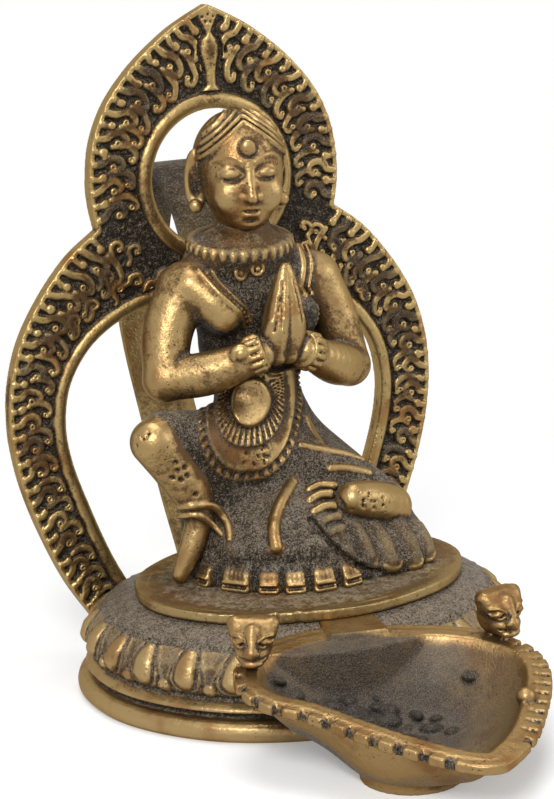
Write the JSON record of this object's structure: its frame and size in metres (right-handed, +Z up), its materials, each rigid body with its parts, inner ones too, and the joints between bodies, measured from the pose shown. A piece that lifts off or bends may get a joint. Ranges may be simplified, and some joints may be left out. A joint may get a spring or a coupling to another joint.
{
  "type": "figural oil lamp",
  "caption": "Cast brass hand lamp: praying seated woman on a lotus base, flame aureole behind, open oil bowl in front, strap handle at the back.",
  "frame": {"origin": "middle of the footprint's bounding rectangle, on the floor under the foot ring", "axes": "+Z up, -Y towards the front where the oil bowl stands, +X towards the figure's left hand"},
  "size_m": [0.128, 0.214, 0.1749],
  "materials": {
    "pedestal_brass": "aged, dusty cast brass with dark grooves",
    "plate_brass": "aged cast brass, worn edge",
    "figure_brass": "aged cast brass, rubbed bright on high places",
    "aureole_brass": "aged cast brass with a dark pitted ground",
    "strap_brass": "smooth worn brass",
    "bowl_brass": "aged cast brass, soot inside",
    "cub_brass": "aged cast brass, rubbed",
    "fastener_brass": "worn brass"
  },
  "bodies": {
    "root": {"lotus_base": "pedestal_brass", "seat_plate": "plate_brass", "figure": "figure_brass", "lug_washer": "fastener_brass", "aureole": "aureole_brass", "aureole_rivet_left": "fastener_brass", "aureole_rivet_right": "fastener_brass", "handle_rivet_upper": "fastener_brass", "back_handle": "strap_brass", "handle_rivet_lower": "fastener_brass", "oil_bowl": "bowl_brass", "cub_head_left": "cub_brass", "cub_head_right": "cub_brass", "tongue_rivet": "fastener_brass"}
  },
  "joints": []
}
